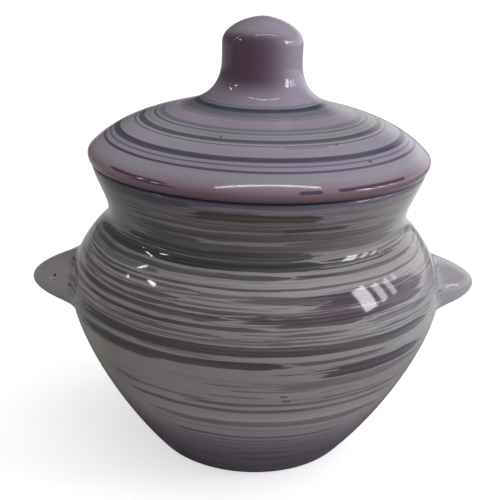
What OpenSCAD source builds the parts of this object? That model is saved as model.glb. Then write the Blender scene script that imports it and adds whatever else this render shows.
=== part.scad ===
// Lidded clay pot with two lugs, in millimetres.
// The pot stands on the XY plane and its turning axis is Z.
// The lugs point along +X and -X, and the lid sits in the mouth as it does in use.

/* [Pot] */
// Radius of the foot that the pot stands on
foot_r = 35; // [28:0.5:42]
// Radius of the belly at its widest
belly_r = 64; // [56:0.5:72]
// Height of the widest line of the belly
belly_z = 58; // [50:0.5:62]
// Radius of the waist under the collar
waist_r = 50.6; // [46:0.2:53]
// Height of the waist
waist_z = 84.7; // [80:0.1:88]
// Outer radius of the rim
rim_r = 56; // [54:0.2:60]
// Height of the rim, where the lid sits
rim_z = 101; // [97:0.5:108]
// Thickness of the fired wall
pot_wall = 5; // [3.5:0.1:6.5]
// Thickness of the floor, measured from the table
floor_t = 7; // [5:0.5:10]
// Angle at which the wall leaves the table
foot_angle = 50; // [42:1:60]

/* [Foot ring] */
// Width of the bare ring that touches the table
foot_ring_w = 5; // [3:0.5:8]
// Depth of the hollow inside the foot ring
foot_hollow = 1.5; // [0.5:0.1:2.5]

/* [Lugs] */
// How far the tip of a lug stands out from the belly
lug_out = 13.6; // [9:0.2:20]
// Width of a lug at its root, seen from above
lug_w = 36; // [28:0.5:40]
// Height of a lug at its root, seen from the side
lug_h = 19; // [14:0.5:21]
// Height of the middle of the lugs above the table
lug_z = 57.5; // [52:0.5:60]
// Extra half width of a lug where it flows into the belly
lug_flow = 4.5; // [2:0.5:6]

/* [Lid] */
// How far the edge of the lid passes the rim
lid_overhang = 0.9; // [0:0.1:3]
// Thickness of the wall of the lid
lid_wall = 5; // [3.5:0.1:6]
// Height of the thick rounded edge of the lid
lid_edge_h = 4.2; // [3:0.2:6]
// Height of the dome above the rim, where it turns up to the knob
dome_h = 16.1; // [12:0.1:20]
// Radius at which the dome turns up to the knob
dome_turn_r = 32; // [28:0.5:36]
// Depth of the ring that holds the lid in the mouth
locating_h = 7; // [4:0.5:10]
// Thickness of that ring
locating_t = 4.5; // [3:0.1:6]
// Play between that ring and the mouth at its narrowest
locating_play = 1.5; // [0.8:0.1:3]

/* [Knob] */
// Radius of the knob
knob_r = 13.2; // [11:0.1:16]
// Height above the rim at which the neck becomes the knob
knob_start_h = 32.7; // [28:0.1:36]
// Height of the top of the knob above the rim
knob_top_h = 46.4; // [44:0.1:54]
// Height of the rounded top of the knob
knob_crown_h = 8.4; // [5:0.1:11]

/* [Edges] */
// Softening of the foot and locating ring edges
small_edge = 0.8; // [0.3:0.1:1.2]
// Softening of the rim edges
rim_edge = 1.4; // [0.5:0.1:2]

/* [Hidden] */
pot_colour = "#988f99";
lid_colour = "#a897aa";
$fn = 96;
steps = 12;
edge_steps = 4;

// Points and directions on a cubic curve given as [start, handle, handle, end]
function curve_point(c, t) =
    pow(1 - t, 3) * c[0] + 3 * pow(1 - t, 2) * t * c[1]
    + 3 * (1 - t) * t * t * c[2] + pow(t, 3) * c[3];
function curve_slope(c, t) =
    3 * pow(1 - t, 2) * (c[1] - c[0]) + 6 * (1 - t) * t * (c[2] - c[1])
    + 3 * t * t * (c[3] - c[2]);
function unit(v) = v / norm(v);
function toward(angle) = [cos(angle), sin(angle)];

// A cubic curve that leaves a along angle_a and arrives at b along angle_b.
// Each pull is a share of the distance between a and b.
function sweep(a, angle_a, pull_a, b, angle_b, pull_b) =
    let (span = norm(b - a))
    [a, a + pull_a * span * toward(angle_a), b - pull_b * span * toward(angle_b), b];

// The curve as points, without its first, which ends the curve before it
function outside(c) = [for (i = [1 : steps]) curve_point(c, i / steps)];

// The curve moved inwards by a wall, from its end back to the share "from" of its length
function inside(c, wall, from = 0) =
    [for (i = [steps : -1 : 0])
        let (t = from + (1 - from) * i / steps, d = unit(curve_slope(c, t)))
        curve_point(c, t) + wall * [-d[1], d[0]]];

// A bend from a to b that leaves and arrives along the lines to q
function bend(a, q, b) =
    [for (i = [0 : edge_steps])
        let (t = i / edge_steps)
        (1 - t) * (1 - t) * a + 2 * (1 - t) * t * q + t * t * b];

// A softened corner at q on the way from p to s
function corner(p, q, s, size) = bend(q + size * unit(p - q), q, q + size * unit(s - q));

// Radius of a line of points at a height
function radius_at(points, z) = lookup(z, [for (p = points) [p[1], p[0]]]);

// Outline of the pot, from the foot up: bowl, shoulder, neck and collar.
// The shoulder turns into the hollow of the neck just below and outside the waist.
neck_out = 4.3;
neck_drop = 7.1;
shoulder_point = [waist_r + neck_out, waist_z - neck_drop];
shoulder_angle = 133;
collar_angle = 78;
bowl = sweep([foot_r, 0], foot_angle, 0.37, [belly_r, belly_z], 90, 0.2);
shoulder = sweep([belly_r, belly_z], 90, 0.28, shoulder_point, shoulder_angle, 0.32);
neck = sweep(shoulder_point, shoulder_angle, 0.36, [waist_r, waist_z], 90, 0.41);
collar = sweep([waist_r, waist_z], 90, 0.26, [rim_r, rim_z], collar_angle, 0.33);

// The inside follows the outside and ends in a rounded floor
bowl_from = 0.28;
bowl_in = inside(bowl, pot_wall, bowl_from);
bowl_low = bowl_in[steps];
bowl_low_dir = curve_slope(bowl, bowl_from);
floor_corner = [bowl_low[0] - (bowl_low[1] - floor_t) * bowl_low_dir[0] / bowl_low_dir[1], floor_t];
floor_round = 10;
foot_in_r = foot_r - foot_ring_w;

// The rim is flat on top, and its edges start a little below it
collar_out = outside(collar);
collar_in = inside(collar, pot_wall);
rim_start = rim_z - 1.6 * rim_edge;
rim_start_out = [radius_at(collar_out, rim_start), rim_start];
rim_start_in = [radius_at(collar_in, rim_start), rim_start];
mouth_top = [radius_at(collar_in, rim_z), rim_z];

pot_outline = concat(
    [[0, foot_hollow]],
    corner([0, foot_hollow], [foot_in_r, foot_hollow], [foot_in_r, 0], small_edge / 2),
    corner([foot_in_r, foot_hollow], [foot_in_r, 0], [foot_r, 0], small_edge / 2),
    corner([foot_in_r, 0], [foot_r, 0], curve_point(bowl, 1 / steps), small_edge),
    outside(bowl),
    outside(shoulder),
    outside(neck),
    [for (p = collar_out) if (p[1] < rim_start) p],
    corner(rim_start_out, [rim_r, rim_z], mouth_top, rim_edge),
    corner([rim_r, rim_z], mouth_top, rim_start_in, rim_edge),
    [for (p = collar_in) if (p[1] < rim_start) p],
    [for (i = [1 : steps]) inside(neck, pot_wall)[i]],
    [for (i = [1 : steps]) inside(shoulder, pot_wall)[i]],
    [for (i = [1 : steps - 1]) bowl_in[i]],
    bend(bowl_low, floor_corner, floor_corner - [floor_round, 0]),
    [[0, floor_t]]
);

// A lug is a rounded cone of oval section that flows into the belly.
// Its half width grows with the square root of the distance from its tip,
// and its foot follows the belly, so the two surfaces meet all round.
lug_tip_x = belly_r + lug_out;
lug_root_in = 4;
lug_depth = lug_out + lug_root_in;
lug_root_depth = 0.6 * pot_wall;
lug_lip = 0.15;
lug_rings = 12;
lug_sides = 36;
lug_merge = lug_flow - sqrt(4 * lug_flow * lug_lip);

// Outer radius of the body at a height, and how far out the body stands at y, z
body_side = concat([[foot_r, 0]], outside(bowl), outside(shoulder));
function body_x(y, z) = sqrt(pow(radius_at(body_side, z), 2) - y * y);

// Place of a lug point across the view from the side, at a share of the root size
function lug_y(share, turn) = share * lug_w / 2 * cos(turn);
function lug_height(share, turn) = lug_z + share * lug_h / 2 * sin(turn);
function lug_body_x(share, turn) = body_x(lug_y(share, turn), lug_height(share, turn));

// Share of the root size at which the lug has all but run into the body
function lug_end(turn, share = 1, tries = 5) =
    tries == 0 ? share :
    lug_end(turn, sqrt((lug_tip_x - lug_body_x(share, turn) + lug_merge) / lug_depth), tries - 1);

// The larger of two values, with a rounded change from one to the other
function soft_max(a, b, size) =
    let (near = max(size - abs(a - b), 0))
    max(a, b) + near * near / (4 * size);

function lug_point(share, turn) =
    [
        soft_max(lug_body_x(share, turn), lug_tip_x - lug_depth * share * share, lug_flow),
        lug_y(share, turn),
        lug_height(share, turn)
    ];

function lug_ring(i) =
    [for (k = [0 : lug_sides - 1])
        let (turn = 360 * k / lug_sides)
        lug_point(lug_end(turn) * pow(i / lug_rings, 0.75), turn)];

module lug() {
    edge = lug_ring(lug_rings);
    root = [for (k = [0 : lug_sides - 1])
        let (turn = 360 * k / lug_sides)
        [lug_body_x(lug_end(turn), turn) - lug_root_depth, edge[k][1], edge[k][2]]];
    rings = concat([for (i = [1 : lug_rings]) lug_ring(i)], [root]);
    tip = len(rings) * lug_sides;
    points = concat(
        [for (ring = rings) each ring],
        [[lug_tip_x, 0, lug_z], [belly_r - lug_root_depth, 0, lug_z]]
    );
    cap = [for (k = [0 : lug_sides - 1]) [tip, (k + 1) % lug_sides, k]];
    skin = [for (i = [0 : len(rings) - 2], k = [0 : lug_sides - 1])
        let (a = i * lug_sides + k, b = i * lug_sides + (k + 1) % lug_sides)
        each [[a, b, b + lug_sides], [a, b + lug_sides, a + lug_sides]]];
    last = (len(rings) - 1) * lug_sides;
    end = [for (k = [0 : lug_sides - 1]) [tip + 1, last + k, last + (k + 1) % lug_sides]];
    polyhedron(points, concat(cap, skin, end));
}

module lugs() {
    lug();
    mirror([1, 0, 0]) lug();
}

module pot() {
    color(pot_colour)
    union() {
        rotate_extrude() polygon(pot_outline);
        lugs();
    }
}

// Outline of the lid: thick edge, dome, neck and knob, with heights from the rim
lid_r = rim_r + lid_overhang;
lid_edge_low = 2.4;
lid_edge_lean = 0.9;
dome_start = [lid_r - lid_edge_lean, rim_z + lid_edge_h];
dome_turn = [dome_turn_r, rim_z + dome_h];
knob_start = [knob_r, rim_z + knob_start_h];
knob_crown = [knob_r, rim_z + knob_top_h - knob_crown_h];
knob_top = [0, rim_z + knob_top_h];
dome_angle = 135.5;
turn_angle = 165;
edge_curve = sweep([lid_r, rim_z + lid_edge_low], 90, 0.43, dome_start, dome_angle, 0.43);
dome = sweep(dome_start, dome_angle, 0.35, dome_turn, turn_angle, 0.34);
neck_of_knob = sweep(dome_turn, turn_angle, 0.36, knob_start, 90, 0.51);
crown = sweep(knob_crown, 90, 0.34, knob_top, 180, 0.26);

// The ring below the lid clears the mouth where the mouth is narrowest beside it
locating_z = rim_z - locating_h;
locating_r = radius_at(collar_in, locating_z) - locating_play;
locating_in = locating_r - locating_t;

// The hollow below the dome ends in a soft corner where it meets the locating ring
hollow_fillet = 2.5;
dome_in = inside(dome, lid_wall);
function dome_in_z(r) = lookup(r, [for (p = dome_in) [p[0], p[1]]]);
hollow_join = [locating_in, dome_in_z(locating_in)];
hollow_near = [locating_in - hollow_fillet, dome_in_z(locating_in - hollow_fillet)];

lid_outline = concat(
    [knob_top - [0, lid_wall]],
    [for (p = inside(crown, lid_wall)) if (p[0] > 0.5) p],
    inside(neck_of_knob, lid_wall),
    [for (i = [1 : steps]) if (dome_in[i][0] < hollow_near[0]) dome_in[i]],
    corner(hollow_near, hollow_join, [locating_in, locating_z], hollow_fillet),
    corner(hollow_join, [locating_in, locating_z], [locating_r, locating_z], small_edge),
    corner([locating_in, locating_z], [locating_r, locating_z], [locating_r, rim_z], small_edge),
    [[locating_r, rim_z]],
    corner([locating_r, rim_z], [lid_r, rim_z], [lid_r, rim_z + lid_edge_h], lid_edge_low),
    outside(edge_curve),
    outside(dome),
    outside(neck_of_knob),
    [knob_crown],
    outside(crown)
);

module lid() {
    color(lid_colour)
    rotate_extrude() polygon(lid_outline);
}

pot();
lid();
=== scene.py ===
"""A lidded clay pot with two lugs, glazed in lilac and banded with a dry brush.

Everything is in metres, in the frame of the solid model: the pot stands on z = 0,
it turns about the z axis, and its lugs point along +X and -X.
"""

import math

import bmesh
import bpy
from mathutils import Matrix, Vector


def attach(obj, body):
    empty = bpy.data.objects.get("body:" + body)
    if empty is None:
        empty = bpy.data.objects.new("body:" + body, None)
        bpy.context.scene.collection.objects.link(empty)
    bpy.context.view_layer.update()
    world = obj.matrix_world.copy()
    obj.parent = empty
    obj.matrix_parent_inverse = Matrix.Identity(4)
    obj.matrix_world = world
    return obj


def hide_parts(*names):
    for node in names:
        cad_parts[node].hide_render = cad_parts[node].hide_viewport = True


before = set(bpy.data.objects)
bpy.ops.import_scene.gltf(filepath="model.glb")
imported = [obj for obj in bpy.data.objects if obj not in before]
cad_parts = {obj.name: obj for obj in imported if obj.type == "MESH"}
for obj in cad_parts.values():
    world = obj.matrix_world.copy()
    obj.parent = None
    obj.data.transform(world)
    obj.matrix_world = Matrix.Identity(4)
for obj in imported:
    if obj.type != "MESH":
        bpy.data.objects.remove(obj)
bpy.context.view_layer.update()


# Pot: thrown in red clay on the wheel, with a full belly, a tucked neck and a flared collar.
# The two lugs are pressed on while the clay is soft and smoothed into the belly.
# A glossy lilac glaze covers it, brushed round with dark dry strokes, and the foot ring is bare.

MM = 0.001  # One millimetre. The sizes of the pieces are in mm.
foot_r, foot_ring_w, foot_hollow, foot_angle = 35, 5, 1.5, 50
belly_r, belly_z = 64, 58
waist_r, waist_z = 50.6, 84.7
rim_r, rim_z = 56, 101
shoulder_r, shoulder_z = waist_r + 4.3, waist_z - 7.1
pot_wall, floor_t, floor_round = 5, 7, 10
rim_soft, rim_drop, foot_soft, ring_soft = 1.4, 2.24, 0.8, 0.4
bowl_low_share = 0.28
pot_steps = 240


def toward(angle):
    """A direction across the section, in degrees from outwards."""
    return Vector((math.cos(math.radians(angle)), math.sin(math.radians(angle))))


def sweep(a, angle_a, pull_a, b, angle_b, pull_b):
    """The four points of a cubic curve that leaves a and reaches b along two directions."""
    a, b = Vector(a), Vector(b)
    span = (b - a).length
    return a, a + toward(angle_a) * pull_a * span, b - toward(angle_b) * pull_b * span, b


def along(curve, t):
    """A point of the curve."""
    a, b, c, d = curve
    u = 1 - t
    return a * u**3 + b * 3 * u * u * t + c * 3 * u * t * t + d * t**3


def heading(curve, t):
    """The direction of the curve at a point."""
    a, b, c, d = curve
    u = 1 - t
    return ((b - a) * u * u + (c - b) * 2 * u * t + (d - c) * t * t).normalized()


def outer(curve, steps):
    """The curve as points, without the first."""
    return [along(curve, i / steps) for i in range(1, steps + 1)]


def inner(curve, steps, wall, start=0.0):
    """The curve moved inwards by the wall, from its end back to a share of its length."""
    points = []
    for i in range(steps, -1, -1):
        t = start + (1 - start) * i / steps
        way = heading(curve, t)
        points.append(along(curve, t) + Vector((-way.y, way.x)) * wall)
    return points


def bend(a, corner, b, steps=5):
    """A rounded turn from a to b about a corner."""
    a, corner, b = Vector(a), Vector(corner), Vector(b)
    points = []
    for i in range(steps + 1):
        t = i / steps
        points.append(a * (1 - t) ** 2 + corner * 2 * t * (1 - t) + b * t * t)
    return points


def softened(before, corner, after, size, steps=5):
    """A corner with its edge taken off."""
    before, corner, after = Vector(before), Vector(corner), Vector(after)
    return bend(
        corner + (before - corner).normalized() * size,
        corner,
        corner + (after - corner).normalized() * size,
        steps,
    )


def radius_at(points, height):
    """Radius of a line of points at a height."""
    for a, b in zip(points, points[1:]):
        if min(a.y, b.y) <= height <= max(a.y, b.y) and a.y != b.y:
            return a.x + (b.x - a.x) * (height - a.y) / (b.y - a.y)
    return points[0].x if height < points[0].y else points[-1].x


def turned(outline, steps):
    """A bmesh turned from a half section: a list of (points, run at the first, is it measured).

    The run of a point is how far up the wall it lies, in mm, for the decoration to follow.
    """
    bm = bmesh.new()
    run_layer = bm.verts.layers.float.new("run")
    last = None
    for points, run, measured in outline:
        before = points[0]
        for point in points:
            vert = bm.verts.new((point.x * MM, 0, point.y * MM))
            if last is not None:
                bm.edges.new((last, vert))
            if measured:
                run += (point - before).length
            vert[run_layer] = run
            last, before = vert, point
    bmesh.ops.spin(
        bm,
        geom=bm.verts[:] + bm.edges[:],
        axis=(0, 0, 1),
        cent=(0, 0, 0),
        angle=2 * math.pi,
        steps=steps,
        use_merge=True,
    )
    bmesh.ops.remove_doubles(bm, verts=bm.verts, dist=1e-6)
    bmesh.ops.recalc_face_normals(bm, faces=bm.faces)
    return bm


def finished(name, bm, materials):
    """The bmesh as a smooth object at the origin."""
    mesh = bpy.data.meshes.new(name)
    bm.to_mesh(mesh)
    bm.free()
    mesh.shade_smooth()
    for material in materials:
        mesh.materials.append(material)
    piece = bpy.data.objects.new(name, mesh)
    bpy.context.scene.collection.objects.link(piece)
    return piece


bowl = sweep((foot_r, 0), foot_angle, 0.37, (belly_r, belly_z), 90, 0.2)
shoulder = sweep((belly_r, belly_z), 90, 0.28, (shoulder_r, shoulder_z), 133, 0.32)
neck = sweep((shoulder_r, shoulder_z), 133, 0.36, (waist_r, waist_z), 90, 0.41)
collar = sweep((waist_r, waist_z), 90, 0.26, (rim_r, rim_z), 78, 0.33)

foot_in_r = foot_r - foot_ring_w
underside = (
    [Vector((0, foot_hollow))]
    + [Vector((r, foot_hollow)) for r in (10, 20)]
    + softened((0, foot_hollow), (foot_in_r, foot_hollow), (foot_in_r, 0), ring_soft)
    + softened((foot_in_r, foot_hollow), (foot_in_r, 0), (foot_r, 0), ring_soft)
)
foot_edge = softened((foot_in_r, 0), (foot_r, 0), along(bowl, 1 / 12), foot_soft)
collar_out = outer(collar, 20)
collar_in = inner(collar, 12, pot_wall)
rim_start = rim_z - rim_drop
rim_out = Vector((radius_at(collar_out, rim_start), rim_start))
rim_in = Vector((radius_at(collar_in, rim_start), rim_start))
mouth_top = Vector((radius_at(collar_in, rim_z), rim_z))
bowl_in = inner(bowl, 30, pot_wall, bowl_low_share)
bowl_low = bowl_in[-1]
bowl_low_way = heading(bowl, bowl_low_share)
floor_corner = Vector(
    (bowl_low.x - (bowl_low.y - floor_t) * bowl_low_way.x / bowl_low_way.y, floor_t)
)

pot_side = (
    [p for p in outer(bowl, 78) if p.y > foot_soft]
    + outer(shoulder, 38)
    + outer(neck, 12)
    + [p for p in collar_out if p.y < rim_start]
    + softened(rim_out, (rim_r, rim_z), mouth_top, rim_soft)
)
pot_inside = (
    softened((rim_r, rim_z), mouth_top, rim_in, rim_soft)
    + [p for p in collar_in if p.y < rim_start]
    + inner(neck, 8, pot_wall)[1:]
    + inner(shoulder, 12, pot_wall)[1:]
    + bowl_in[1:-1]
    + bend(bowl_low, floor_corner, floor_corner - Vector((floor_round, 0)), 8)
    + [Vector((r, floor_t)) for r in (12, 0)]
)
# The brushwork is measured from 1.8 mm up the wall. Below and inside, the run only picks the colour.
side_start = (pot_side[0] - Vector((foot_r, 0))).length - 1.8
run_below, run_inside = -20, 130
pot_outline = [
    (underside, run_below, False),
    (foot_edge, 0, False),
    (pot_side, side_start, True),
    (pot_inside, run_inside, False),
]
pot_bm = turned(pot_outline, pot_steps)

lug_out, lug_w, lug_h, lug_z, lug_flow = 13.6, 36, 19, 57.5, 4.5
lug_depth = lug_out + 4
lug_share_end = 2.5
lug_full = 3
drawn_in = 0.3
collar_run = 112


def soft_max(a, b, size):
    """The larger of two values, with a rounded change from one to the other."""
    return max(a, b) + max(size - abs(a - b), 0) ** 2 / (4 * size)


# The points of each ring are drawn closer together towards the lugs, and the skin there is pulled
# outwards into them. A point's lug value is 1 where the skin is pulled out by lug_full or more.
lug_layer = pot_bm.verts.layers.float.new("lug")
run_layer = pot_bm.verts.layers.float["run"]
for vert in pot_bm.verts:
    turn = math.atan2(vert.co.y, vert.co.x)
    turn -= drawn_in * math.sin(2 * turn)
    radius = math.hypot(vert.co.x, vert.co.y)
    vert.co.x, vert.co.y = radius * math.cos(turn), radius * math.sin(turn)
    if not 0 <= vert[run_layer] <= collar_run:
        continue
    x, y, z = (c / MM for c in vert.co)
    share = (y / (lug_w / 2)) ** 2 + ((z - lug_z) / (lug_h / 2)) ** 2
    if share > lug_share_end or abs(x) < belly_r / 2:
        continue
    reach = soft_max(abs(x), belly_r + lug_out - lug_depth * share, lug_flow)
    vert[lug_layer] = min((reach - abs(x)) / lug_full, 1)
    vert.co.x = math.copysign(reach, x) * MM

# The flat of the foot ring is bare clay.
for face in pot_bm.faces:
    middle = face.calc_center_median() / MM
    if middle.z < 0.02 and foot_in_r < math.hypot(middle.x, middle.y) < foot_r:
        face.material_index = 1


def put(tree, kind, *values, **settings):
    """A node with its settings made and its inputs filled in order, from numbers or sockets."""
    node = tree.nodes.new("ShaderNode" + kind)
    for name, value in settings.items():
        setattr(node, name, value)
    for socket, value in zip(node.inputs, values):
        if isinstance(value, bpy.types.NodeSocket):
            tree.links.new(value, socket)
        elif value is not None:
            socket.default_value = value
    return node


def sums(tree, operation, *values):
    """The output of a Math node."""
    return put(tree, "Math", *values, operation=operation).outputs[0]


def blended(tree, share, a, b):
    """A colour between a and b."""
    node = tree.nodes.new("ShaderNodeMix")
    node.data_type = "RGBA"
    for socket, value in ((node.inputs[0], share), (node.inputs[6], a), (node.inputs[7], b)):
        if isinstance(value, bpy.types.NodeSocket):
            tree.links.new(value, socket)
        else:
            socket.default_value = value
    return node.outputs[2]


def eased(tree, value, low, high, to_low=0.0, to_high=1.0):
    """A value that changes smoothly from to_low to to_high as value goes from low to high."""
    node = put(tree, "MapRange", value, low, high, to_low, to_high, interpolation_type="SMOOTHSTEP")
    return node.outputs[0]


def colour(code):
    """A colour as the shader takes it, from six hexadecimal digits."""
    parts = [int(code[i : i + 2], 16) / 255 for i in (0, 2, 4)]
    return [*(p / 12.92 if p <= 0.04045 else ((p + 0.055) / 1.055) ** 2.4 for p in parts), 1]


def ramp(tree, value, low, high, stops):
    """A colour read from a list of (place, colour) stops between low and high."""
    share = put(tree, "MapRange", value, low, high, 0.0, 1.0).outputs[0]
    node = put(tree, "ValToRGB", share)
    for place, code in stops:
        stop = node.color_ramp.elements.new((place - low) / (high - low))
        stop.color = colour(code)
    while node.color_ramp.elements[0].position == 0 and len(node.color_ramp.elements) > len(stops):
        node.color_ramp.elements.remove(node.color_ramp.elements[0])
    node.color_ramp.elements.remove(node.color_ramp.elements[-1])
    return node.outputs[0]


stroke_values = ("From", "From run", "To", "To run", "Width", "Strength", "Ragged", "Fade")


def stroke_group():
    """One pull of the brush round the work: nodes that add its ink to what was laid before.

    It is ragged where the brush lands, thinner where it leaves, and its edges follow the streaks
    of the bristles.
    """
    tree = bpy.data.node_groups.new("brush_stroke", "ShaderNodeTree")
    for name in ("Run", "Turn", "Streak", "Before", *stroke_values):
        tree.interface.new_socket(name, in_out="INPUT", socket_type="NodeSocketFloat")
    tree.interface.new_socket("Ink", in_out="OUTPUT", socket_type="NodeSocketFloat")
    given = {s.name: s for s in tree.nodes.new("NodeGroupInput").outputs if s.name}
    # The turn is read through the ink laid before, which leaves it as it is, but makes the renderer
    # finish one stroke before it starts the next.
    turn = sums(tree, "MAXIMUM", given["Turn"], sums(tree, "SUBTRACT", given["Before"], 1000.0))
    half = sums(tree, "MULTIPLY", given["Width"], 0.5)
    line = [given[name] for name in ("From", "To", "From run", "To run")]
    middle = put(tree, "MapRange", turn, *line).outputs[0]
    away = sums(tree, "ABSOLUTE", sums(tree, "SUBTRACT", given["Run"], middle))
    to_left = sums(tree, "DIVIDE", sums(tree, "SUBTRACT", turn, given["From"]), given["Fade"])
    to_right = sums(tree, "DIVIDE", sums(tree, "SUBTRACT", given["To"], turn), given["Fade"])
    tip = eased(tree, to_right, 0.0, 0.6, 0.4, 1.0)
    within = sums(tree, "SUBTRACT", sums(tree, "MULTIPLY", half, tip), away)
    across = sums(tree, "MULTIPLY_ADD", within, 3.0, 0.5)
    nearest = sums(tree, "MINIMUM", to_left, sums(tree, "MULTIPLY_ADD", to_right, 2.5, 0.35))
    cover = sums(tree, "MINIMUM", sums(tree, "MINIMUM", across, 1.0), nearest)
    loose = eased(tree, nearest, 0.0, 2.5, 1.0, 0.0)
    uneven = sums(tree, "ADD", given["Ragged"], loose)
    rough = sums(tree, "MULTIPLY_ADD", given["Streak"], uneven, cover)
    ink = eased(tree, rough, 0.36, 0.64)
    laid = sums(tree, "MULTIPLY", ink, given["Strength"])
    most = sums(tree, "MAXIMUM", given["Before"], laid)
    tree.links.new(most, tree.nodes.new("NodeGroupOutput").inputs["Ink"])
    return tree


def painted(tree, group, places, strokes):
    """All the strokes, laid one after another: the most ink that any of them leaves at a place."""
    before = None
    for stroke in strokes:
        node = tree.nodes.new("ShaderNodeGroup")
        node.node_tree = group
        for name, socket in places.items():
            tree.links.new(socket, node.inputs[name])
        for name, value in zip(stroke_values, stroke):
            node.inputs[name].default_value = value
        if before is not None:
            tree.links.new(before, node.inputs["Before"])
        before = node.outputs[0]
    return before


def new_material(name):
    """An empty material with its shader: the tree and the shader node."""
    material = bpy.data.materials.new(name)
    material.use_nodes = True
    tree = material.node_tree
    return material, tree, tree.nodes["Principled BSDF"]


def places_on(tree):
    """Where a point lies on turned work: run up the wall, degrees round it, and its sine and cosine.

    The degrees start at the middle of the brushed front, 3 degrees from -Y towards -X.
    """
    run = put(tree, "Attribute", attribute_name="run").outputs["Fac"]
    spot = put(tree, "SeparateXYZ", put(tree, "TexCoord").outputs["Object"])
    x, y = spot.outputs["X"], spot.outputs["Y"]
    angle = sums(tree, "ARCTAN2", x, sums(tree, "MULTIPLY", y, -1.0))
    azimuth = sums(tree, "ADD", sums(tree, "MULTIPLY", angle, 180 / math.pi), 3.0)
    return run, azimuth, sums(tree, "SINE", angle), sums(tree, "COSINE", angle)


def from_middle(tree, azimuth):
    """Degrees from the middle of the front or of the back, whichever is nearer."""
    half_turns = sums(tree, "ROUND", sums(tree, "DIVIDE", azimuth, 180.0))
    return sums(tree, "SUBTRACT", azimuth, sums(tree, "MULTIPLY", half_turns, 180.0))


def streaks(tree, run, across, forth, long, fine, detail=2.0, seed=0.0):
    """Noise drawn out round the work: long is in radians of turn and fine in mm of run."""
    vector = put(
        tree, "CombineXYZ",
        sums(tree, "MULTIPLY", across, 1 / long),
        sums(tree, "MULTIPLY", forth, 1 / long),
        sums(tree, "ADD", sums(tree, "MULTIPLY", run, 1 / fine), seed),
    ).outputs[0]
    node = put(tree, "TexNoise", vector, noise_dimensions="3D")
    node.inputs["Scale"].default_value = 1.0
    node.inputs["Detail"].default_value = detail
    node.inputs["Roughness"].default_value = 0.6
    return sums(tree, "SUBTRACT", node.outputs[0], 0.5)


def glazed(tree, shader, run, across, forth, base, depth):
    """Sets the gloss glaze: its colour, its gloss, and the throwing lines to a depth in mm."""
    lines = streaks(tree, run, across, forth, long=1.6, fine=2.4, detail=2.0, seed=80.0)
    ripple = put(tree, "TexNoise", put(tree, "TexCoord").outputs["Object"], noise_dimensions="3D")
    ripple.inputs["Scale"].default_value = 90
    bump = put(tree, "Bump")
    bump.inputs["Distance"].default_value = depth * MM
    bump.inputs["Strength"].default_value = 1.0
    tree.links.new(lines, bump.inputs["Height"])
    tree.links.new(bump.outputs[0], shader.inputs["Normal"])
    tree.links.new(base, shader.inputs["Base Color"])
    roughness = sums(tree, "MULTIPLY_ADD", ripple.outputs[0], 0.06, 0.04)
    tree.links.new(roughness, shader.inputs["Roughness"])


def toned(tree, colour_in, change):
    """The colour made lighter or darker by a share that varies about 0."""
    node = put(tree, "VectorMath", colour_in, operation="SCALE")
    tree.links.new(sums(tree, "ADD", 1.0, change), node.inputs["Scale"])
    return node.outputs[0]


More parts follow.
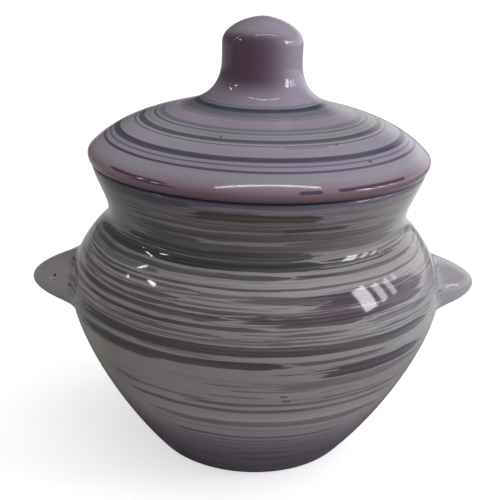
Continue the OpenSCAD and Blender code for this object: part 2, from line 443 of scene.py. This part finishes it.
# Each pull of the brush on the pot, in degrees and in mm of run, from the collar to the foot.
pot_strokes = [
    # from, run, to, run, width, strength, ragged, fade
    # The first three lie just under the lid's edge and are painted shade from its overhang, darkest on
    # the left and the front.
    (-100, 111.4, 30, 111.4, 2.6, 0.6, 1.6, 30),
    (10, 111.6, 100, 111.6, 2.0, 0.3, 1.6, 8),
    (-100, 111.6, -70, 111.6, 2.0, 0.3, 1.6, 8),
    (-84, 109.4, -18, 109.4, 2.2, 0.85, 2, 14),
    (-25, 108.6, 2, 108.5, 0.9, 0.5, 2.4, 12),
    (-24, 106.9, 21, 106.7, 2.7, 0.95, 2, 8),
    (18, 107.8, 66, 107.7, 1.4, 0.35, 2.4, 10),
    (-62, 107.4, -20, 107.2, 1.6, 0.35, 2.4, 12),
    (-56, 105.2, -22, 105.2, 0.7, 0.35, 2, 12),
    (-30, 105.3, 24, 105, 0.5, 0.6, 2.6, 12),
    (-38, 103.2, 20, 103.4, 0.5, 0.6, 2.6, 12),
    (40, 100.7, 56, 100.5, 2.2, 0.65, 2.4, 8),
    (-32, 104.2, 60, 104.2, 0.8, 0.6, 2.4, 14),
    (-54, 102.5, 31, 102.4, 1.2, 0.7, 2.4, 16),
    (6, 102.4, 31, 102.4, 1.3, 1, 2, 6),
    (-20, 101, 20, 101, 0.5, 0.5, 2.4, 12),
    (-52, 99.3, 58, 99.6, 2.6, 0.75, 2.2, 16),
    (-50, 95.6, 57, 95.6, 2.3, 0.75, 2.2, 16),
    (9, 97.3, 57, 97.4, 1.4, 0.65, 2.2, 8),
    (-50, 97.4, -18, 97.2, 1.4, 0.75, 2.2, 8),
    (-60, 93.5, 22, 93.3, 2.8, 0.9, 2.2, 20),
    (-82, 90.5, 24, 90.3, 3, 1, 1.8, 14),
    (20, 91.5, 66, 91.8, 0.8, 0.95, 2.4, 10),
    (19, 90.4, 66, 90.5, 0.9, 0.95, 2.4, 10),
    (14, 89.3, 58, 89.4, 0.5, 0.9, 2.8, 10),
    (-80, 87, 12, 87, 1.8, 0.75, 2.6, 16),
    (8, 87, 66, 87.1, 1.2, 0.75, 2.4, 10),
    (-82, 85, -30, 85, 1.8, 0.6, 2, 12),
    (-78, 82.7, 76, 83.9, 0.8, 0.8, 2.4, 14),
    (-43, 83.4, -15, 83.4, 0.7, 0.8, 2.4, 10),
    (1, 83.2, 9, 83.3, 0.8, 0.8, 2, 3),
    (-70, 81.5, -14, 81.4, 1, 0.9, 2.2, 12),
    (-22, 80.9, 12, 81, 1.1, 0.7, 2.4, 10),
    (-10, 80.3, 58, 80.1, 1.8, 0.9, 2.4, 16),
    (-24, 79.4, 8, 79.3, 0.5, 0.55, 2.8, 12),
    (-86, 78.6, -20, 78.5, 1.4, 0.8, 2.4, 14),
    (12, 78.1, 63, 77.7, 2.8, 1, 2.8, 12),
    (-18, 74.7, 61, 74.5, 2.6, 1, 2.8, 20),
    (32, 76.3, 60, 76.2, 1.5, 0.85, 2.6, 12),
    (-71, 76.4, 5, 76.3, 0.9, 0.8, 2.8, 14),
    (-78, 74.6, -5, 74.4, 1.6, 0.95, 2.2, 14),
    (0, 72.9, 33, 72.8, 1.4, 0.85, 2.4, 10),
    (29, 71.2, 61, 71, 1.9, 0.75, 2.4, 10),
    (-84, 71.8, 5, 71.8, 1.1, 0.9, 2.2, 14),
    (-76, 69.6, -6, 69.5, 0.9, 0.75, 2.4, 14),
    (-80, 67.8, 40, 67.8, 0.7, 0.6, 2.6, 16),
    (-68, 65.5, 60, 65.3, 2.9, 1, 1.8, 16),
    (-40, 63.5, 25, 64.2, 0.6, 0.6, 2.4, 12),
    (-60, 60.9, 11, 60.9, 2.5, 1, 1.9, 16),
    (2, 61.1, 41, 61.9, 1.3, 0.8, 2.4, 12),
    (-68, 59.8, -24, 59.8, 2.7, 0.95, 2.2, 14),
    (13, 57.4, 57, 57.1, 4, 1, 2.8, 14),
    (20, 56, 56, 56.1, 1.4, 0.95, 2, 8),
    (3, 57.8, 16, 57.8, 0.5, 0.8, 2, 6),
    (-2, 53.1, 57, 53, 3.2, 0.7, 2.8, 20),
    (-16, 52.9, 2, 52.9, 0.6, 0.7, 2, 8),
    (-11, 50.8, 20, 50.8, 0.6, 0.6, 2.4, 10),
    (20, 49.5, 33, 49.5, 0.6, 0.55, 2.4, 6),
    (-16, 48.4, 5, 48.3, 0.7, 0.7, 2.4, 8),
    (7.8, 48.7, 10.4, 48.6, 0.7, 1, 0.5, 0.8),
    (8.5, 46.6, 11.4, 46.6, 0.8, 1, 0.5, 0.8),
    (-47, 47.4, -34, 47.4, 0.9, 0.6, 2.4, 6),
    (11, 46.5, 44, 46.5, 0.9, 0.6, 2.8, 12),
    (-50, 46.2, -9, 46.2, 0.8, 0.65, 2.4, 12),
    (-24, 44.8, 53, 44.8, 1.3, 0.75, 2.2, 14),
    (-48, 41.8, 51, 41.8, 1.5, 0.8, 2.2, 18),
    (-40, 34.8, 48, 34.8, 2.6, 0.65, 2.2, 20),
    (-24, 36, 44, 36.1, 0.7, 0.6, 2.4, 14),
    (-38, 31.5, 36, 31.6, 0.8, 0.3, 2.4, 14),
    (-36, 27.3, 34, 27.3, 1, 0.8, 2, 14),
    (-34, 24.8, 40, 24.8, 0.7, 0.6, 2.2, 14),
    (-30, 22.9, 36, 22.9, 0.7, 0.6, 2.2, 14),
    (-34, 21.4, 30, 21.4, 0.6, 0.5, 2.2, 14),
    (-30, 19.8, 34, 19.8, 0.7, 0.6, 2.2, 14),
    (-10, 16.4, 18, 16.4, 1.9, 0.6, 2, 10),
    (-8, 12.1, 42, 12.1, 1.9, 0.65, 2, 12),
    (-42, 12.9, -4, 12.9, 0.8, 0.4, 2.4, 12),
    (-50, 5, 60, 5, 2, 0.5, 2, 14),
]

pot_glaze, tree, shader = new_material("pot_glaze")
brush = stroke_group()
run, azimuth, across, forth = places_on(tree)


def near_run(height, none, full):
    """A share that is 1 within full mm of run of a height on the wall, and 0 past none mm."""
    return eased(tree, sums(tree, "ABSOLUTE", sums(tree, "SUBTRACT", run, height)), none, full)


# The strokes wander a little up and down, and those of the back lie lower than the front's.
turn = from_middle(tree, azimuth)
wander = streaks(tree, run, across, forth, long=0.5, fine=14, detail=1.0)
wander = sums(tree, "MULTIPLY", wander, 1.3)
shift = eased(tree, sums(tree, "ABSOLUTE", azimuth), 75.0, 130.0, 0.0, 1.4)
drawn_run = sums(tree, "ADD", sums(tree, "ADD", run, wander), shift)
streak = streaks(tree, run, across, forth, long=0.24, fine=0.5, detail=3.0)
ink = painted(tree, brush, {"Run": drawn_run, "Turn": turn, "Streak": streak}, pot_strokes)
bristles = streaks(tree, run, across, forth, long=0.8, fine=0.9, detail=3.0, seed=20.0)
ink = sums(tree, "MULTIPLY", ink, sums(tree, "MULTIPLY_ADD", bristles, 1.2, 0.95))

# Stray bristles leave hairlines between the strokes, most on the shoulder and the collar.
hairs = streaks(tree, run, across, forth, long=0.4, fine=0.5, detail=2.0, seed=40.0)
hairs = eased(tree, hairs, 0.02, 0.14)
thick_from = eased(tree, run, 59.0, 65.0, 0.15, 0.75)
thick_to = eased(tree, run, 79.0, 85.0, 1.0, 0.45)
thick_collar = eased(tree, run, 100.0, 102.0, 0.0, 0.7)
thick = sums(tree, "MAXIMUM", sums(tree, "MULTIPLY", thick_from, thick_to), thick_collar)
hairs = sums(tree, "MULTIPLY", hairs, thick)

# Past the lugs the strokes of the front and of the back run into each other.
past = streaks(tree, run, across, forth, long=0.9, fine=1.5, detail=2.0, seed=90.0)
past = eased(tree, past, 0.0, 0.06)
at_side = sums(tree, "MULTIPLY_ADD", streak, 0.35, sums(tree, "ABSOLUTE", across))
at_side = eased(tree, at_side, 0.9, 0.96, 0.0, 0.8)
past = sums(tree, "MULTIPLY", past, at_side)
past = sums(tree, "MULTIPLY", past, eased(tree, run, 8.0, 60.0, 0.4, 1.0))
lug_mask = put(tree, "Attribute", attribute_name="lug").outputs["Fac"]
past = sums(tree, "MULTIPLY", past, eased(tree, lug_mask, 0.0, 0.2, 1.0, 0.0))

# The lugs themselves are left plain.
ink = sums(tree, "MAXIMUM", ink, sums(tree, "MAXIMUM", past, hairs))
ink = sums(tree, "MULTIPLY", ink, eased(tree, lug_mask, 0.25, 0.6, 1.0, 0.0))

# The glaze by height, from the violet foot to the dark contact ring on the rim and the pale inside,
# then by side and on the lugs. The dark ring on the rim top is the seat of the lid with painted shade of
# the crease between lid and rim, and the rim just below darkens into it as painted shade under the lid's
# edge.
ground = ramp(tree, run, 0, 130, [
    # The darker violet at the foot is the glaze's violet, partly darkened as painted shade of the
    # underside.
    (0, "675c6a"), (12, "625766"), (20, "716772"), (28, "8a8187"), (37, "98928f"),
    (44, "8f8988"), (52, "8a8482"), (60, "898584"), (75, "8b8486"), (84, "939090"),
    (93, "858281"), (103, "7a7674"), (109, "757076"), (112, "6c6678"), (112.8, "625c6c"),
    (113.5, "1e191d"), (120, "3a2f33"), (124, "8e8494"),
])
# A paler, greener patch at the left edge of the belly: the glaze's greener tint there, painted lighter
# as sheen on the grazing edge.
left_belly_tint_and_sheen = eased(tree, across, -0.72, -0.92, 0.0, 0.9)
left_belly_tint_and_sheen = sums(tree, "MULTIPLY", near_run(50.0, 14.0, 6.0), left_belly_tint_and_sheen)
ground = blended(tree, left_belly_tint_and_sheen, ground, colour("aaaca3"))
right_belly = eased(tree, across, 0.2, 0.7, 0.0, 0.7)
right_belly = sums(tree, "MULTIPLY", near_run(62.0, 14.0, 8.0), right_belly)
ground = blended(tree, right_belly, ground, colour("8c9190"))
# Painted shade: the collar and shoulder are made darker on the left, away from the light.
left_collar_shade = eased(tree, across, -0.5, -0.9, 0.0, 0.6)
left_collar_shade = sums(tree, "MULTIPLY", left_collar_shade, eased(tree, run, 88.0, 95.0))
ground = blended(tree, left_collar_shade, ground, colour("565952"))
ground = blended(tree, eased(tree, lug_mask, 0.2, 0.7), ground, colour("8e8a8f"))
clouds = streaks(tree, run, across, forth, long=0.8, fine=3.0, detail=3.0, seed=60.0)
ground = toned(tree, ground, sums(tree, "MULTIPLY", clouds, 0.35))

# The colour of the strokes by height, painted paler on the right as painted light from the window side,
# violet in two of them, greener on the left.
stroke_tint = ramp(tree, run, 0, 130, [
    (0, "3a303c"), (27, "4e484e"), (46, "54504e"), (51.5, "5b5657"), (58, "544d50"), (61.5, "4a4243"),
    (70, "4a4546"), (78, "4e4347"), (82, "4d4447"), (88, "36353a"), (98, "464240"), (107, "43413a"),
    (112, "444056"),
])
# Painted light: the strokes turn paler towards the lit right side.
to_right = eased(tree, across, 0.0, 0.95, 0.0, 0.35)
stroke_tint = blended(tree, to_right, stroke_tint, colour("746e78"))
violet = sums(tree, "MAXIMUM", near_run(57.2, 3.0, 2.2), near_run(76.2, 5.5, 4.0))
violet = sums(tree, "MULTIPLY", violet, eased(tree, across, 0.0, 0.4, 0.0, 0.85))
stroke_tint = blended(tree, violet, stroke_tint, colour("483b48"))
to_left = eased(tree, across, -0.2, -0.9, 0.0, 0.6)
stroke_tint = blended(tree, to_left, stroke_tint, colour("3e4040"))
base = blended(tree, ink, ground, stroke_tint)

# One pinhole in the glaze of the left lug.
pinhole = (-0.06824, -0.01077, 0.06144)
spot = put(tree, "TexCoord").outputs["Object"]
off = put(tree, "VectorMath", spot, pinhole, operation="DISTANCE").outputs["Value"]
base = blended(tree, eased(tree, off, 0.0007, 0.0003), base, colour("1c1418"))
glazed(tree, shader, run, across, forth, base, depth=0.02)

bare_clay, tree, shader = new_material("bare_clay")
grain = put(tree, "TexNoise", put(tree, "TexCoord").outputs["Object"], noise_dimensions="3D")
grain.inputs["Scale"].default_value = 900
clay = blended(tree, grain.outputs[0], colour("8f5a44"), colour("b07a5e"))
tree.links.new(clay, shader.inputs["Base Color"])
shader.inputs["Roughness"].default_value = 0.85

pot = finished("pot_body", pot_bm, [pot_glaze, bare_clay])
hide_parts("pot")
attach(pot, "root")


# Lid: thrown upside down and turned, with a thick rounded edge, a low dome and a hollow finger knob.
# A plain ring below drops into the mouth and keeps the lid from sliding.
# It has the same glaze, ringed with clean thin bands while it turned on the wheel.

lid_overhang, lid_wall = 0.9, 5
lid_r = rim_r + lid_overhang
edge_soft, lid_edge_h = 2.4, 4.2
knob_r = 13.2
dome_start = (rim_r, rim_z + lid_edge_h)
dome_turn = (32, rim_z + 16.1)
knob_start = (knob_r, rim_z + 32.7)
knob_crown = (knob_r, rim_z + 38)
knob_top = (0, rim_z + 46.4)
locating_h, locating_t, locating_play, locating_soft = 7, 4.5, 1.5, 0.8
hollow_soft = 2.5
lid_steps = 200


def straight(a, b):
    """The four points of a side that runs straight from a to b."""
    a, b = Vector(a), Vector(b)
    return a, a.lerp(b, 1 / 3), a.lerp(b, 2 / 3), b


lid_edge = sweep((lid_r, rim_z + edge_soft), 90, 0.43, dome_start, 135.5, 0.43)
dome = sweep(dome_start, 135.5, 0.35, dome_turn, 165, 0.34)
knob_neck = sweep(dome_turn, 165, 0.36, knob_start, 90, 0.51)
crown = sweep(knob_crown, 90, 0.34, knob_top, 180, 0.26)

ring_z = rim_z - locating_h
ring_r = radius_at(collar_in, ring_z) - locating_play
ring_in = ring_r - locating_t
dome_in = inner(dome, 20, lid_wall)
hollow_line = [Vector((p.y, p.x)) for p in dome_in]
hollow_corner = Vector((ring_in, radius_at(hollow_line, ring_in)))
hollow_r = ring_in - hollow_soft
hollow_near = Vector((hollow_r, radius_at(hollow_line, hollow_r)))

lid_under = (
    [Vector((0, knob_top[1] - lid_wall))]
    + [p for p in inner(crown, 12, lid_wall) if p.x > 0.5]
    + inner(knob_neck, 24, lid_wall)
    + [p for p in dome_in[1:] if p.x < hollow_r]
    + softened(hollow_near, hollow_corner, (ring_in, ring_z), hollow_soft)
    + softened(hollow_corner, (ring_in, ring_z), (ring_r, ring_z), locating_soft)
    + softened((ring_in, ring_z), (ring_r, ring_z), (ring_r, rim_z), locating_soft)
    + [Vector((ring_r, rim_z))]
)
lid_seat = softened((ring_r, rim_z), (lid_r, rim_z), (lid_r, dome_start[1]), edge_soft, 8)
lid_top = (
    outer(lid_edge, 8)
    + outer(dome, 44)
    + outer(knob_neck, 44)
    + outer(straight(knob_start, knob_crown), 4)
    + outer(crown, 24)
)
# The run starts below 0 on the seat, so that the contact ring can be dark: the seat of the lid, with
# painted shade of the crease between lid and rim.
lid_outline = [(lid_under, -10, False), (lid_seat, -4, True), (lid_top, 0.2, True)]
lid_bm = turned(lid_outline, lid_steps)

# The bands of the lid go all the way round. Below them come the dabs on its edge, and three pinholes.
lid_strokes = [
    # from, run, to, run, width, strength, ragged, fade
    (-100, 42.6, 100, 42.6, 0.6, 0.7, 0.6, 1),
    (-100, 40.6, 100, 40.6, 2.4, 1.0, 0.6, 1),
    (-100, 37.9, 100, 37.9, 2.6, 0.7, 1.4, 1),
    (-100, 35.8, 100, 35.8, 0.5, 0.7, 0.8, 1),
    (-100, 35.0, 100, 35.0, 0.3, 0.5, 0.8, 1),
    (-100, 28.5, 100, 28.5, 1.9, 0.7, 1.2, 1),
    (-100, 26.2, 100, 26.2, 0.8, 0.95, 0.8, 1),
    (-100, 24.2, 100, 24.2, 0.6, 0.25, 1.2, 1),
    (-100, 21.7, 100, 21.7, 2.0, 0.95, 0.8, 1),
    (-100, 19.4, 100, 19.4, 0.6, 0.7, 0.8, 1),
    (8, 18.4, 30, 18.4, 0.4, 0.7, 0.6, 4),
    (-100, 13.0, 100, 13.0, 2.2, 1.0, 0.8, 1),
    (-100, 10.4, 100, 10.4, 0.6, 0.7, 0.8, 1),
    (-100, 8.2, 100, 8.2, 0.9, 0.95, 0.6, 1),
    (-53, 1.7, -28, 1.5, 0.9, 0.95, 1.4, 5),
    (-44, 0.7, -24, 0.7, 0.6, 0.9, 1.6, 6),
    (11, 1.3, 19, 1.3, 1.1, 0.95, 1, 2),
    (23, 1.5, 51, 1.6, 1.1, 0.95, 1, 2),
    (-18.8, 23.5, -17, 23.3, 0.9, 1, 0, 0.5),
    (32.2, 19.1, 33.8, 19.0, 0.8, 1, 0, 0.5),
    (39.9, 10, 41.9, 9.7, 1.1, 1, 0, 0.5),
]

lid_glaze, tree, shader = new_material("lid_glaze")
run, azimuth, across, forth = places_on(tree)
turn = from_middle(tree, azimuth)
wander = streaks(tree, run, across, forth, long=0.8, fine=10, detail=1.0)
drawn_run = sums(tree, "ADD", run, sums(tree, "MULTIPLY", wander, 0.5))
streak = streaks(tree, run, across, forth, long=0.4, fine=0.6, detail=2.0)
ink = painted(tree, brush, {"Run": drawn_run, "Turn": turn, "Streak": streak}, lid_strokes)
bristles = streaks(tree, run, across, forth, long=0.9, fine=0.9, detail=3.0, seed=20.0)
ink = sums(tree, "MULTIPLY", ink, sums(tree, "MULTIPLY_ADD", bristles, 0.7, 0.95))

# The glaze from the pale underside over the dark contact ring and the pink edge to the knob. The contact
# ring is the seat of the lid with painted shade of the crease between lid and rim. The left of the dome
# is painted lighter, as painted light.
ground = ramp(tree, run, -20, 80, [
    (-10, "8e8494"), (-8.5, "3a2f33"), (-2.2, "1e191d"), (-1.4, "5e4c54"), (0.5, "735d66"),
    (2.6, "84737d"), (5, "89888f"), (8, "8c818f"), (11, "85828f"), (20, "8f8a93"),
    (24, "858688"), (30, "8c8290"), (34, "8d8391"), (38, "858288"), (44, "8a8090"),
    (79, "8f8692"),
])
clouds = streaks(tree, run, across, forth, long=0.8, fine=2.0, detail=3.0, seed=60.0)
ground = toned(tree, ground, sums(tree, "MULTIPLY", clouds, 0.25))
# Painted light: the dome is made lighter on its left side.
left_dome_painted_light = eased(tree, across, -0.3, -0.95, 0.0, 0.3)
left_dome_painted_light = sums(tree, "MULTIPLY", left_dome_painted_light, eased(tree, run, 38.0, 34.0))
ground = toned(tree, ground, left_dome_painted_light)
stroke_tint = ramp(tree, run, -20, 80, [
    (0, "443549"), (6, "57495f"), (13, "4a4656"), (22, "514f5b"), (28, "5d696e"), (35, "66506e"),
    (38, "56636a"), (41, "36343f"), (43, "587074"),
])
base = blended(tree, ink, ground, stroke_tint)

# A thin wash of dark purple-brown lies round the wall of the knob. It is made deepest 30 degrees to the
# left of the front as a painted dark reflection.
wash = sums(tree, "MULTIPLY", eased(tree, run, 45.5, 52.5), eased(tree, run, 68.0, 64.0))
off = sums(tree, "MULTIPLY", sums(tree, "ADD", azimuth, 30.0), math.pi / 180)
dark_reflection_share = eased(tree, sums(tree, "COSINE", off), 0.2, 1.0, 0.1, 1.0)
base = blended(tree, sums(tree, "MULTIPLY", wash, dark_reflection_share), base, colour("5a4455"))
glazed(tree, shader, run, across, forth, base, depth=0.002)

lid = finished("lid_body", lid_bm, [lid_glaze])
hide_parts("lid")
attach(lid, "root")


# The view: a wide pale floor under a white sky, with soft light all round, a tall window of four
# panes on the right, three small lamps on the left and a long tube overhead.

# The camera was fitted to the outlines and to the rings of the turned work.
camera = bpy.data.objects.new("camera", bpy.data.cameras.new("camera"))
camera.data.lens = 63.36
camera.data.sensor_width = 36
camera.data.sensor_fit = "HORIZONTAL"
camera.data.clip_start, camera.data.clip_end = 0.01, 20
camera.matrix_world = (
    Matrix.Translation((-0.01519, -0.28978, 0.17208))
    @ Matrix.Rotation(math.radians(-2.594), 4, "Z")
    @ Matrix.Rotation(math.radians(70.20), 4, "X")
    @ Matrix.Rotation(math.radians(1.779), 4, "Z")
)
bpy.context.scene.collection.objects.link(camera)
bpy.context.scene.camera = camera

floor_bm = bmesh.new()
bmesh.ops.create_circle(floor_bm, cap_ends=True, segments=96, radius=3.0)
floor_material, tree, shader = new_material("pale_floor")
shader.inputs["Roughness"].default_value = 0.9
shader.inputs["Specular IOR Level"].default_value = 0.0
shader.inputs["Emission Color"].default_value = (1, 1, 1, 1)
rays = put(tree, "LightPath")
spot = put(tree, "SeparateXYZ", put(tree, "TexCoord").outputs["Object"])
x, y = spot.outputs["X"], spot.outputs["Y"]
# The glaze mirrors the floor as bright behind the pot and close beside it, and dark elsewhere.
behind = eased(tree, y, -0.02, 0.25, 0.03, 0.3)
to_right = eased(tree, x, 0.04, 0.17, 0.0, 0.5)
to_left = eased(tree, x, -0.09, -0.15, 0.0, 0.1)
near = eased(tree, sums(tree, "ABSOLUTE", x), 0.3, 0.21)
near = sums(tree, "MULTIPLY", near, eased(tree, y, -0.12, 0.05))
beside = sums(tree, "MULTIPLY", sums(tree, "ADD", to_right, to_left), near)
seen = sums(tree, "MULTIPLY", rays.outputs["Is Camera Ray"], 0.6)
mirrored = sums(tree, "MULTIPLY", rays.outputs["Is Glossy Ray"], sums(tree, "ADD", behind, beside))
tree.links.new(sums(tree, "ADD", seen, mirrored), shader.inputs["Emission Strength"])
shade = blended(tree, rays.outputs["Is Glossy Ray"], (0.6, 0.6, 0.6, 1), (0.06, 0.06, 0.06, 1))
tree.links.new(shade, shader.inputs["Base Color"])
floor = finished("floor", floor_bm, [floor_material])

world = bpy.data.worlds.new("studio")
world.use_nodes = True
bpy.context.scene.world = world
tree = world.node_tree
sky = tree.nodes["Background"]
way = put(tree, "TexCoord").outputs["Generated"]


def glow(direction, low, high, level):
    """Light from one side of the room, strongest along a direction."""
    direction = Vector(direction).normalized()
    facing = put(tree, "VectorMath", way, direction, operation="DOT_PRODUCT").outputs["Value"]
    return eased(tree, facing, low, high, 0.0, level)


def total(*values):
    """Several values added up."""
    result = values[0]
    for value in values[1:]:
        result = sums(tree, "ADD", result, value)
    return result


# The room that lights the matt colours is brighter than the one that the gloss mirrors, and the
# background is plain white.
rays = put(tree, "LightPath")
up = put(tree, "SeparateXYZ", way).outputs["Z"]
low = eased(tree, up, 0.5, 0.15)
soft = total(
    glow((0, 0, 1), 0.0, 0.9, 0.22),
    glow((0.87, 0.45, 0.2), 0.3, 0.95, 1.4),
    glow((0.75, -0.6, 0.05), -0.2, 0.95, 0.85),
    glow((-0.5, -0.1, 0.85), 0.4, 0.98, 0.16),
    0.1,
)
sharp = total(
    sums(tree, "MULTIPLY", low, glow((0.85, 0.5, 0.0), 0.3, 0.95, 1.0)),
    sums(tree, "MULTIPLY", low, glow((-0.85, 0.5, -0.1), 0.6, 0.98, 0.1)),
    0.06,
)
shown = sums(tree, "ADD", rays.outputs["Is Camera Ray"], rays.outputs["Is Transmission Ray"])
lit = sums(tree, "MULTIPLY", rays.outputs["Is Diffuse Ray"], soft)
mirrored = sums(tree, "MULTIPLY", rays.outputs["Is Glossy Ray"], sharp)
tree.links.new(total(shown, lit, mirrored), sky.inputs["Strength"])
from_right = glow((0.9, 0.0, 0.2), -0.3, 0.9, 1.0)
tint = blended(tree, from_right, (1.0, 0.985, 0.95, 1), (0.97, 0.96, 1.0, 1))
tree.links.new(blended(tree, shown, tint, (1, 1, 1, 1)), sky.inputs["Color"])


def panel(name, azimuth, elevation, distance, width, height, radiance, lean=0.0, tint=(1, 1, 1)):
    """A flat light that looks at the pot from a direction round it, with its sizes in degrees."""
    data = bpy.data.lights.new(name, "AREA")
    data.shape = "RECTANGLE"
    data.size = 2 * distance * math.tan(math.radians(width / 2))
    data.size_y = 2 * distance * math.tan(math.radians(height / 2))
    data.energy = radiance * math.pi * data.size * data.size_y
    data.color = tint
    a, e = math.radians(azimuth), math.radians(elevation)
    way = Vector((math.sin(a) * math.cos(e), -math.cos(a) * math.cos(e), math.sin(e)))
    lamp = bpy.data.objects.new(name, data)
    turn = way.to_track_quat("Z", "Y").to_matrix().to_4x4() @ Matrix.Rotation(math.radians(lean), 4, "Z")
    lamp.matrix_world = Matrix.Translation(Vector((0, 0, 0.08)) + way * distance) @ turn
    bpy.context.scene.collection.objects.link(lamp)
    return lamp


cool = (0.93, 0.93, 1.0)
panel("window_pane_1", 71, 24.3, 1.2, 9.5, 17.5, 12, 0, cool)
panel("window_pane_2", 83, 22, 1.2, 5, 13.5, 8, 0, cool)
panel("window_pane_3", 92, 19.5, 1.2, 4, 12, 6, 0, cool)
panel("window_pane_4", 99.5, 21, 1.2, 2.5, 4, 4, 0, cool)
panel("left_slit", -94.5, 36, 1.2, 1.2, 7, 24, -10)
panel("left_lamp", -77, 32, 1.2, 5.5, 2.2, 24)
panel("left_spot", -94, 24, 1.2, 1.8, 1.2, 16)
tube = panel("ceiling_tube", 39, 77, 1.25, 43, 1.0, 22)
tube.matrix_world = Matrix.Translation((0.08, -0.236, 1.3)) @ Matrix.Rotation(math.radians(4.4), 4, "Z")

bpy.context.scene.view_settings.view_transform = "Standard"
